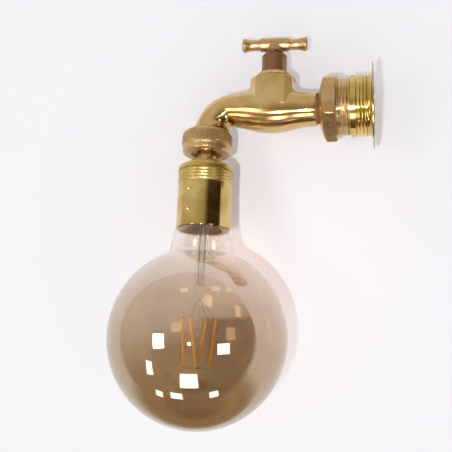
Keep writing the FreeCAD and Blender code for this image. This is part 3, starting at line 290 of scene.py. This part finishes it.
MATERIALS = {
    # cast and turned brass left unpolished: broad dull glints, and painted shade, a dark brown
    # laid on the gland nut where the handle shades it
    "brown_brass": metal("brown_brass", "DDBF8E", "BC9A68", 0.30, grain=0.10, soft_edge=1.2,
                         painted_shade_heights=(27.0, 47.0)),
    # cast brass buffed along the tap's tube: long bright streaks
    "polished_brass": metal("polished_brass", "DCC18A", "C6A465", 0.17, wear=0.04,
                            soft_edge=1.6, drawn=0.85),
    # spun and lacquered sheet brass, pale and mirror-like, but satin on the lampholder's cap and
    # the ridged band under it
    "sheet_brass": metal("sheet_brass", "DEC883", "BC9E52", 0.14, wear=0.05,
                         satin=(-55.2, -35.0)),
    # turned and drawn steel of the screws, the locknut, the pin and the lamp's wires: grey,
    # with a soft sheen
    "steel": metal("steel", "BDBDBB", "8E8E8C", 0.28, grain=0.06),
    # tinned or nickelled brass of the terminals, the contacts and the lamp's cap: whiter and
    # smoother than the steel
    "tinned": metal("tinned", "D2D2CC", "A8A8A2", 0.22),
    # blown soda glass with a thin amber silvering: almost clear at the neck, partly a mirror at
    # the foot
    "amber_glass": glass("amber_glass",
                         [(0.0, "E2C196"), (0.01, "FBFAF7"), (0.14, "F8F4EE"), (0.30, "EEE4D8"),
                          (0.6, "DFD0BA"), (1.0, "D8C4A2")],
                         [(0.0, 0.28), (0.01, 0.02), (0.12, 0.06), (0.32, 0.22), (1.0, 0.32)],
                         "EEE7E4"),
    # drawn clear glass of the lamp's stem
    "clear_glass": glass("clear_glass", [(0.0, "F6F4EE"), (1.0, "F6F4EE")],
                         [(0.0, 0.0), (1.0, 0.0)], "F4F2EC"),
    # opaque black glass in the lamp's cap, fused and glossy
    "black_glass": solid("black_glass", "141414", "060606", 0.08),
    # glazed porcelain of the lampholder's insert: warm white with a sharp highlight
    "white_ceramic": solid("white_ceramic", "F0EEE6", "DEDACD", 0.18),
    # moulded nylon of the terminal block: white and slightly waxy
    "white_nylon": solid("white_nylon", "E6E6DE", "D2D2C8", 0.45),
    # glass-fibre board with green lacquer
    "green_board": solid("green_board", "2F6B38", "1D4A27", 0.40),
    # pressed vulcanised fibre: brown, matt and a little rough
    "fibre": solid("fibre", "8A6A42", "5E4428", 0.70, grain=0.3),
    # moulded black rubber: matt, hardly any highlight
    "seal_rubber": solid("seal_rubber", "262626", "121212", 0.70),
    # yellow silicone over the filaments' chips
    "filament": solid("filament", "F6C04A", "EAA62E", 0.50),
    # extruded vinyl over the three cores: smooth, in the colours of live, neutral and earth
    "core_brown": solid("core_brown", "5A3218", "43240F", 0.35),
    "core_blue": solid("core_blue", "2C5CA8", "1D447F", 0.35),
    "core_green": solid("core_green", "5C9A2C", "C8B82E", 0.35),
}


def dress_cad():
    """Gives each solid of the frame the material of its slot in the record."""
    for part in frame["record"]["subparts"]:
        node = frame["nodes"][part["node"]]
        node.data.materials.clear()
        node.data.materials.append(MATERIALS[part["material_slot"]])


dress_cad()


# ---------------------------------------------------------------------------- making pieces

COARSE_SIDES = 96
FINE_SIDES = 128
SHELL_SIDES = 256
MERGE_DISTANCE = 1e-7


def mesh_object(name, mesh):
    """The mesh as an object in the scene."""
    thing = bpy.data.objects.new(name, mesh)
    bpy.context.scene.collection.objects.link(thing)
    return thing


def plain_mesh(name, vertices, faces):
    """A mesh from points in millimetres."""
    mesh = bpy.data.meshes.new(name)
    mesh.from_pydata([Vector(corner) * MM for corner in vertices], [], faces)
    return mesh


def finished_piece(name, mesh, body, slot):
    """The mesh as a piece of the light: it rides on a body and has the slot's material."""
    mesh.materials.append(MATERIALS[slot])
    thing = mesh_object(name, mesh)
    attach(thing, body)
    return thing


def swept_round(name, stations, surface, place, body, slot, sides, sharp, closed=False):
    """A skin round an axis.  Each station along it gives one ring, and surface(station,
    turn) gives the ring's radius and height at a turn in radians; place(radius, turn,
    height) puts the point in the model.  Folds steeper than sharp degrees keep their
    edge.  A closed skin's last ring joins its first."""
    vertices, faces = [], []
    for station in stations:
        for side in range(sides):
            turn = 2 * math.pi * side / sides
            radius, height = surface(station, turn)
            vertices.append(place(radius, turn, height))
    rows = len(stations)
    for row in range(rows if closed else rows - 1):
        first, below = row * sides, (row + 1) % rows * sides
        for side in range(sides):
            after = (side + 1) % sides
            faces.append((first + side, first + after, below + after, below + side))

    mesh = plain_mesh(name, vertices, faces)
    work = bmesh.new()
    work.from_mesh(mesh)
    bmesh.ops.remove_doubles(work, verts=work.verts, dist=MERGE_DISTANCE)
    bmesh.ops.recalc_face_normals(work, faces=work.faces)
    for face in work.faces:
        face.smooth = True
    for edge in work.edges:
        edge.smooth = (len(edge.link_faces) == 2
                       and edge.calc_face_angle() < math.radians(sharp))
    work.to_mesh(mesh)
    work.free()
    return finished_piece(name, mesh, body, slot)


def upright_at(x):
    """Places points round an upright axis."""
    return lambda radius, turn, height: (x + radius * math.cos(turn), radius * math.sin(turn),
                                         height)


def along_wall_axis(radius, turn, height):
    """Places points round the axis that runs into the wall."""
    return (height, radius * math.cos(turn), radius * math.sin(turn))


def spread(start, end, count):
    """Evenly spaced numbers from start to end."""
    return [start + (end - start) * step / (count - 1) for step in range(count)]


# ---------------------------------------------------------------------------- globe

GLASS_WALL = 0.8
GLOBE_RADIUS = 62.5
GLOBE_CENTRE = -164.1
GLOBE_START = 29.5      # the radius at which the neck's curve meets the ball
GLOBE_STEPS = 64
NECK_STEPS = 6
GLOBE_SHARP = 60
# radius and height of the neck, from the lamp's cap down
NECK = [(12.6, -72.0), (12.6, -78.6), (13.3, -80.0), (15.5, -82.2), (18.3, -86.4), (20.2, -89.2),
        (21.2, -92.4), (22.2, -97.5), (22.7, -101.0), (23.9, -104.2), (26.2, -106.9)]


def rounded_path(corners, steps):
    """Points along a smooth curve through corners, with that many steps to each."""
    path = []
    for index in range(len(corners) - 1):
        before = Vector(corners[max(index - 1, 0)])
        start, end = Vector(corners[index]), Vector(corners[index + 1])
        after = Vector(corners[min(index + 2, len(corners) - 1)])
        for step in range(steps):
            share = step / steps
            path.append((0.5 * (2 * start + (end - before) * share
                                + (2 * before - 5 * start + 4 * end - after) * share ** 2
                                + (3 * start - before - 3 * end + after) * share ** 3)).to_tuple())
    path.append(tuple(corners[-1]))
    return path


def set_in(path, wall):
    """The path moved inward by a wall's thickness."""
    moved = []
    for index, point in enumerate(path):
        before = Vector(path[max(index - 1, 0)])
        after = Vector(path[min(index + 1, len(path) - 1)])
        way = (after - before).normalized()
        moved.append((max(point[0] + way.y * wall, 0.0), point[1] - way.x * wall))
    return moved


def globe_outline():
    """The outside of the glass from its cap to its foot: the neck's curve, then an arc."""
    start = math.asin(GLOBE_START / GLOBE_RADIUS)
    ball = []
    for step in range(GLOBE_STEPS + 1):
        turn = start + (math.pi - start) * step / GLOBE_STEPS
        ball.append((GLOBE_RADIUS * math.sin(turn), GLOBE_CENTRE + GLOBE_RADIUS * math.cos(turn)))
    return rounded_path(NECK + [ball[0]], NECK_STEPS)[:-1] + ball


def add_globe():
    """The glass, with its real wall, closed at the foot and joined at the neck's rim."""
    outside = globe_outline()
    inside = set_in(outside, GLASS_WALL)[::-1]
    outside[-1] = (0.0, outside[-1][1])
    inside[0] = (0.0, inside[0][1])
    return swept_round("globe", outside + inside, lambda corner, turn: corner,
                       upright_at(DROP_X), "lamp", "amber_glass",
                       sides=FINE_SIDES, sharp=GLOBE_SHARP, closed=True)


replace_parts(add_globe(), "lamp_glass")


# ---------------------------------------------------------------------------- threads and ridges

RIDGE_STEEPNESS = 1.35      # above 1 the crest is flat
RIDGE_SHARP = 50
THREAD_PITCH = 2.309        # of a pipe thread with eleven turns to the inch
THREAD_START = -25.3
THREAD_END = -15.9
THREAD_ROOT = 19.53
THREAD_CREST = 20.4
THREAD_RINGS = 10           # rings of the mesh in each pitch
COLLAR_START = -11.0
COLLAR_END = -4.2
COLLAR_ROOT = 21.16
COLLAR_CREST = 21.60
COLLAR_RIDGES = 3
COLLAR_RINGS = 12


def ridge(turns):
    """One smooth ridge for each whole turn, 0 at the root and 1 at the crest."""
    share = turns % 1.0
    return min(1.0, RIDGE_STEEPNESS * (1 - abs(2 * share - 1)))


def add_reducer_thread():
    """The thread between the hexagon and the wall ring, fading out at both ends."""
    def surface(height, turn):
        from_end = min(abs(height - THREAD_START), abs(height - THREAD_END)) / (THREAD_PITCH / 2)
        raised = ridge(height / THREAD_PITCH - turn / (2 * math.pi)) * min(1.0, from_end)
        return THREAD_ROOT + (THREAD_CREST - THREAD_ROOT) * raised, height

    count = int((THREAD_END - THREAD_START) / THREAD_PITCH * THREAD_RINGS)
    return swept_round("reducer_thread", spread(THREAD_START, THREAD_END, count), surface,
                       along_wall_axis, "fixed", "brown_brass",
                       sides=COARSE_SIDES, sharp=RIDGE_SHARP)


def add_collar_ridges():
    """The plain rolled ridges round the wall ring's collar."""
    pitch = (COLLAR_END - COLLAR_START) / COLLAR_RIDGES

    def surface(height, turn):
        raised = ridge((height - COLLAR_START) / pitch)
        return COLLAR_ROOT + (COLLAR_CREST - COLLAR_ROOT) * raised, height

    stations = spread(COLLAR_START, COLLAR_END, COLLAR_RIDGES * COLLAR_RINGS + 1)
    return swept_round("collar_ridges", stations, surface, along_wall_axis, "fixed",
                       "sheet_brass", sides=COARSE_SIDES, sharp=RIDGE_SHARP)


add_reducer_thread()
add_collar_ridges()


# ---------------------------------------------------------------------------- union nut's teeth

NUT_RADIUS = 18.4
TOOTH_COUNT = 72
TOOTH_TOP = -17.0
TOOTH_BOTTOM = -25.6
TOOTH_HEIGHT = 0.32
TOOTH_SINK = 0.25           # how deep its foot sits in the nut
TOOTH_END_STEP = 0.02       # the height of its end faces
TOOTH_END_SLOPE = 0.7
TOOTH_FOOT_SHARE = 0.92     # its foot, as a share of the space there is for it
TOOTH_CREST_SHARE = 0.3     # its crest, as a share of its foot


def nut_tooth():
    """One ridge down the union nut's band, sunk into it, with sloped ends."""
    half = math.pi * NUT_RADIUS / TOOTH_COUNT * TOOTH_FOOT_SHARE
    crest_half = TOOTH_CREST_SHARE * half
    foot, crest = NUT_RADIUS - TOOTH_SINK, NUT_RADIUS + TOOTH_HEIGHT
    corners = []
    for height, radius in ((TOOTH_TOP, foot + TOOTH_END_STEP), (TOOTH_TOP - TOOTH_END_SLOPE, crest),
                           (TOOTH_BOTTOM + TOOTH_END_SLOPE, crest),
                           (TOOTH_BOTTOM, foot + TOOTH_END_STEP)):
        corners += [(foot, -half, height), (radius, -crest_half, height),
                    (radius, crest_half, height), (foot, half, height)]
    faces = []
    for row in range(3):
        for side in range(4):
            first, after = row * 4 + side, row * 4 + (side + 1) % 4
            faces.append((first, after, after + 4, first + 4))
    faces += [(3, 2, 1, 0), (12, 13, 14, 15)]
    return mesh_object("tooth", plain_mesh("tooth", corners, faces))


def ring_tree(name, material):
    """Geometry Nodes that set copies of a mesh evenly round the upright axis.  Gives the
    tree and the name by which a modifier knows its Count."""
    tree = bpy.data.node_groups.new(name, "GeometryNodeTree")
    tree.interface.new_socket("Geometry", in_out="INPUT", socket_type="NodeSocketGeometry")
    count = tree.interface.new_socket("Count", in_out="INPUT", socket_type="NodeSocketInt")
    tree.interface.new_socket("Geometry", in_out="OUTPUT", socket_type="NodeSocketGeometry")
    given = tree.nodes.new("NodeGroupInput").outputs
    spots = add_node(tree, "GeometryNodeMeshLine", {"Count": given["Count"], "Offset": (0, 0, 0)})
    index = add_node(tree, "GeometryNodeInputIndex")
    step = add_node(tree, "ShaderNodeMath", {0: 2 * math.pi, 1: given["Count"]}, operation="DIVIDE")
    turn = add_node(tree, "ShaderNodeMath", {0: index, 1: step}, operation="MULTIPLY")
    way = add_node(tree, "ShaderNodeCombineXYZ", {"Z": turn})
    copies = add_node(tree, "GeometryNodeInstanceOnPoints", {
        "Points": spots, "Instance": given["Geometry"], "Rotation": way})
    whole = add_node(tree, "GeometryNodeRealizeInstances", {0: copies})
    dressed = add_node(tree, "GeometryNodeSetMaterial", {"Geometry": whole, "Material": material})
    add_node(tree, "NodeGroupOutput", {0: dressed})
    return tree, count.identifier


def ring_of_copies(name, copy, count, x, body, slot):
    """Copies of one object, set evenly round an upright axis and joined into one piece."""
    tree, count_name = ring_tree(name, MATERIALS[slot])
    repeat = copy.modifiers.new(name, "NODES")
    repeat.node_group = tree
    repeat[count_name] = count
    bpy.context.view_layer.update()
    mesh = bpy.data.meshes.new_from_object(
        copy.evaluated_get(bpy.context.evaluated_depsgraph_get()))
    copy.modifiers.remove(repeat)
    bpy.data.objects.remove(copy)
    mesh.transform(Matrix.Translation(Vector((x, 0, 0)) * MM))
    mesh.name = name
    mesh.materials.clear()
    return finished_piece(name, mesh, body, slot)


ring_of_copies("union_teeth", nut_tooth(), TOOTH_COUNT, DROP_X, "fixed", "brown_brass")


# ---------------------------------------------------------------------------- boss bead

BEAD_RADIUS = 15.45
BEAD_HEIGHT = 23.75
BEAD_THICKNESS = 0.42
BEAD_SIDES = 12
BEAD_SHARP = 80


def add_boss_bead():
    """The round bead on the boss's rim, under the bonnet's flange."""
    def surface(section, turn):
        return (BEAD_RADIUS + BEAD_THICKNESS * math.cos(section),
                BEAD_HEIGHT + BEAD_THICKNESS * math.sin(section))

    return swept_round("boss_bead", spread(0, 2 * math.pi, BEAD_SIDES + 1)[:-1], surface,
                       upright_at(HEAD_X), "fixed", "polished_brass",
                       sides=FINE_SIDES, sharp=BEAD_SHARP, closed=True)


add_boss_bead()


# ---------------------------------------------------------------------------- lampholder shell

SHELL_TOP = -45.4
SHELL_BOTTOM = -87.7
SHELL_RADIUS = 19.77
SHELL_WALL = 0.6
SHELL_SHARP = 55
RIM_HEIGHT = 0.2
RIM_CHAMFER = 0.1
BAND_BOTTOM = -54.9         # four rolled ridges above it, the plain tube below
BAND_RADIUS = 19.7
BAND_INSIDE = 19.36
BAND_CREST_HEIGHT = 0.45
BAND_PITCH = 2.375
BAND_STEP = 0.4             # how far the outside takes from the band to the tube
BAND_STEP_INSIDE = 0.6      # and the inside
BAND_ROWS = 49
TUBE_ROWS = 110
INSIDE_ROWS = 60
PUNCH_TURNS = [-106, -10, 74, 164]              # degrees
PUNCH_ROWS = [(-63.2, 2.6), (-77.5, 2.1)]       # height and radius of the marks in each row
PUNCH_DEPTH = 0.55


def punched(turn, height):
    """How far a punch mark presses the sheet in at a point."""
    depth = 0.0
    for row, size in PUNCH_ROWS:
        for centre in PUNCH_TURNS:
            away = (turn - math.radians(centre) + math.pi) % (2 * math.pi) - math.pi
            across = away * SHELL_RADIUS / size
            up = (height - row) / size
            depth = max(depth, PUNCH_DEPTH * max(0.0, 1 - across ** 2 - up ** 2))
    return depth


def add_shell():
    """The lampholder's tube, with both faces of its sheet.  Each station is a radius, a
    height, and 1 where the punch marks reach."""
    def surface(corner, turn):
        radius, height, marked = corner
        if height > BAND_BOTTOM:
            radius += BAND_CREST_HEIGHT * ridge((SHELL_TOP - height) / BAND_PITCH)
        return radius - marked * punched(turn, height), height

    outside = [(BAND_RADIUS, height, 1) for height in spread(SHELL_TOP, BAND_BOTTOM, BAND_ROWS)]
    tube_top, tube_bottom = BAND_BOTTOM - BAND_STEP, SHELL_BOTTOM + RIM_HEIGHT
    outside += [(SHELL_RADIUS, height, 1) for height in spread(tube_top, tube_bottom, TUBE_ROWS)]
    within = SHELL_RADIUS - SHELL_WALL
    outside += [(SHELL_RADIUS - RIM_CHAMFER, SHELL_BOTTOM, 0), (within, SHELL_BOTTOM, 0)]
    step_top = BAND_BOTTOM + RIM_CHAMFER
    inside = [(within, height, 1) for height in spread(SHELL_BOTTOM + 2 * RIM_HEIGHT,
                                                       step_top - BAND_STEP_INSIDE, INSIDE_ROWS)]
    inside += [(BAND_INSIDE, step_top, 0), (BAND_INSIDE, SHELL_TOP, 0)]
    return swept_round("shell", outside + inside, surface, upright_at(DROP_X), "fixed",
                       "sheet_brass", sides=SHELL_SIDES, sharp=SHELL_SHARP, closed=True)


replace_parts(add_shell(), "holder_shell")


# ---------------------------------------------------------------------------- stage
# In metres.  The ground leans back below, so that the ring and the globe both just clear it.

GROUND_BACK = 0.032
GROUND_TILT = 11.0          # degrees
GROUND_HALF = 1.6
GROUND_LOW = -0.30
SHADOW_CENTRE = (HEAD_X * MM, 0, -0.08)
GLOW_REACH = 0.25           # past it the ground hardly takes a shadow


def pale_ground():
    """A pale surface that takes the object's shadow near it, and glows with its own colour
    for the camera, shiny metal and clear glass farther off.  From behind it is clear."""
    material, tree, here = new_material("pale_ground")
    matt = add_node(tree, "ShaderNodeBsdfDiffuse", {"Color": linear("F3F1F5")})
    glow = add_node(tree, "ShaderNodeEmission", {"Color": linear("F7F5F8"), "Strength": 1.0})
    away = add_node(tree, "ShaderNodeVectorMath", {0: here, 1: SHADOW_CENTRE}, operation="DISTANCE")
    far = add_node(tree, "ShaderNodeMath", {0: away, 1: 1 / GLOW_REACH}, operation="MULTIPLY")
    share = add_node(tree, "ShaderNodeValToRGB", {"Fac": far},
                     [(0.25, grey(0.10)), (0.9, grey(0.95))])
    path = add_node(tree, "ShaderNodeLightPath").outputs
    seen = path["Is Camera Ray"]
    for other in ("Is Glossy Ray", "Is Transmission Ray"):
        seen = add_node(tree, "ShaderNodeMath", {0: seen, 1: path[other]}, operation="MAXIMUM")
    lit = add_node(tree, "ShaderNodeMath", {0: seen, 1: share}, operation="MULTIPLY")
    front = add_node(tree, "ShaderNodeMixShader", {0: lit, 1: matt, 2: glow})
    back = add_node(tree, "ShaderNodeBsdfTransparent")
    side = add_node(tree, "ShaderNodeNewGeometry").outputs["Backfacing"]
    both = add_node(tree, "ShaderNodeMixShader", {0: side, 1: front, 2: back})
    add_node(tree, "ShaderNodeOutputMaterial", {"Surface": both})
    return material


def add_ground():
    """One large plane behind the object."""
    corners = []
    for across, up in ((-GROUND_HALF, GROUND_LOW), (GROUND_HALF, GROUND_LOW),
                       (GROUND_HALF, GROUND_HALF), (-GROUND_HALF, GROUND_HALF)):
        corners.append((across, GROUND_BACK - up * math.tan(math.radians(GROUND_TILT)), up))
    mesh = bpy.data.meshes.new("ground")
    mesh.from_pydata(corners, [], [(0, 1, 2, 3)])
    mesh.materials.append(pale_ground())
    mesh_object("ground", mesh)


add_ground()


# ---------------------------------------------------------------------------- room

ROOM = "DCD4CA"
MATT_SKY = "8C8A8D"
SEEN_SKY = "F5F3F7"
FLOOR_LEAN = 0.45           # how much lower the brown starts to the left


def set_world():
    """White where the camera looks past the object.  Shiny metal and glass show a room on
    the camera's side, and matt surfaces get a plain grey sky."""
    world = bpy.data.worlds.new("room")
    bpy.context.scene.world = world
    world.use_nodes = True
    tree = world.node_tree
    tree.nodes.clear()
    direction = add_node(tree, "ShaderNodeTexCoord").outputs["Generated"]
    parts = add_node(tree, "ShaderNodeSeparateXYZ", {0: direction}).outputs
    right, back, up = parts["X"], parts["Y"], parts["Z"]
    leaning = add_node(tree, "ShaderNodeMath", {0: right, 1: FLOOR_LEAN}, operation="MULTIPLY")
    sunk = add_node(tree, "ShaderNodeMath", {0: leaning, 1: up}, operation="SUBTRACT")
    front = add_node(tree, "ShaderNodeMath", {0: back, 1: -1.0}, operation="MULTIPLY")
    azimuth = add_node(tree, "ShaderNodeMath", {0: right, 1: front}, operation="ARCTAN2")
    degree = math.radians(1)
    sights = [
        # brown furniture and floor, lower and to the right
        ("94805F", [(sunk, -0.6, 0.4)]),
        # a dark doorway to the right
        ("3A2A20", [(azimuth, 12 * degree, 36 * degree), (azimuth, 98 * degree, 82 * degree),
                    (up, 0.41, 0.31)]),
        # the floor straight below
        ("66503A", [(up, -0.84, -0.95)]),
        # the white wall behind the object
        ("F2F1F4", [(back, -0.02, 0.12), (up, -0.75, -0.45)]),
    ]
    room = linear(ROOM)
    for colour, edges in sights:
        room = add_node(tree, "ShaderNodeMix", {
            "Factor": mask(tree, edges), "A": room, "B": linear(colour)}, data_type="RGBA")
    path = add_node(tree, "ShaderNodeLightPath").outputs
    for ray, colour in (("Is Diffuse Ray", MATT_SKY), ("Is Camera Ray", SEEN_SKY)):
        room = add_node(tree, "ShaderNodeMix", {
            "Factor": path[ray], "A": room, "B": linear(colour)}, data_type="RGBA")
    light = add_node(tree, "ShaderNodeBackground", {"Color": room, "Strength": 1.0})
    add_node(tree, "ShaderNodeOutputWorld", {"Surface": light})


set_world()


# ---------------------------------------------------------------------------- lamps
# Each lamp is put where its reflection in the globe lies in the picture, in pixels.  Distances
# are in metres.

PANEL_DISTANCE = 1.6
PANEL_POWER = 16.0          # watts for each square metre
# corners of the panels' reflections, clockwise from the upper left
PANELS = [
    [(153.5, 333.5), (165.0, 333.5), (163.0, 349.5), (152.0, 347.5)],
    [(217.5, 344.0), (229.0, 343.0), (230.0, 354.5), (217.5, 354.0)],
    [(145.5, 360.0), (150.5, 361.5), (154.5, 375.5), (147.5, 373.5)],
    [(179.5, 373.5), (198.0, 374.0), (197.5, 388.0), (180.5, 387.5)],
    [(169.0, 392.0), (182.0, 394.0), (182.5, 399.0), (172.5, 398.5)],
    [(154.0, 389.0), (160.5, 392.0), (165.0, 397.5), (158.0, 395.0)],
    [(211.0, 392.5), (220.0, 390.0), (216.5, 396.0), (208.0, 398.0)],
]
KEY_REFLECTION = (189.0, 344.0)
KEY_DISTANCE = 0.44
KEY_SIZE = 0.02
KEY_POWER = 1.55            # watts


def ball_reflection(pixel):
    """Where the camera's ray through a pixel meets the globe, and the way it goes on."""
    right, up, view = camera_axes()
    half = PICTURE_PIXELS / 2
    ray = (view * FOCAL_PIXELS + right * (pixel[0] - half) - up * (pixel[1] - half)).normalized()
    centre = Vector((DROP_X, 0, GLOBE_CENTRE)) * MM
    radius = GLOBE_RADIUS * MM
    across = CAMERA_PLACE - centre
    along = ray.dot(across)
    reach = -along - math.sqrt(along * along - across.length_squared + radius * radius)
    hit = CAMERA_PLACE + ray * reach
    normal = (hit - centre).normalized()
    return hit, (ray - 2 * ray.dot(normal) * normal).normalized()


def add_lamp(name, size, power, matrix):
    """A flat lamp that the camera doesn't see."""
    data = bpy.data.lights.new(name, "AREA")
    data.shape = "RECTANGLE"
    data.size, data.size_y = size
    data.energy = power
    lamp = bpy.data.objects.new(name, data)
    lamp.matrix_world = matrix
    lamp.visible_camera = False
    bpy.context.scene.collection.objects.link(lamp)


def add_panel(index, corners):
    """One of the room's square lamps."""
    spots = []
    for pixel in corners:
        hit, way = ball_reflection(pixel)
        spots.append(hit + way * PANEL_DISTANCE)
    centre = sum(spots, Vector()) / len(spots)
    wide = ((spots[1] - spots[0]).length + (spots[2] - spots[3]).length) / 2
    high = ((spots[3] - spots[0]).length + (spots[2] - spots[1]).length) / 2
    across = (spots[1] - spots[0]).normalized()
    facing = (centre - Vector((DROP_X, 0, GLOBE_CENTRE)) * MM).normalized()
    upward = facing.cross(across).normalized()
    turn = Matrix((across, upward, facing)).transposed().to_4x4()
    add_lamp("panel_%d" % index, (wide, high), PANEL_POWER * wide * high,
             Matrix.Translation(centre) @ turn)


def add_key():
    """The small lamp near the camera that throws the object's close shadow."""
    hit, way = ball_reflection(KEY_REFLECTION)
    place = hit + way * KEY_DISTANCE
    aim = Vector((DROP_X, 0, GLOBE_CENTRE / 2)) * MM - place
    turn = aim.to_track_quat("-Z", "Y").to_matrix().to_4x4()
    add_lamp("key", (KEY_SIZE, KEY_SIZE), KEY_POWER, Matrix.Translation(place) @ turn)


for panel_index, panel_corners in enumerate(PANELS):
    add_panel(panel_index, panel_corners)
add_key()
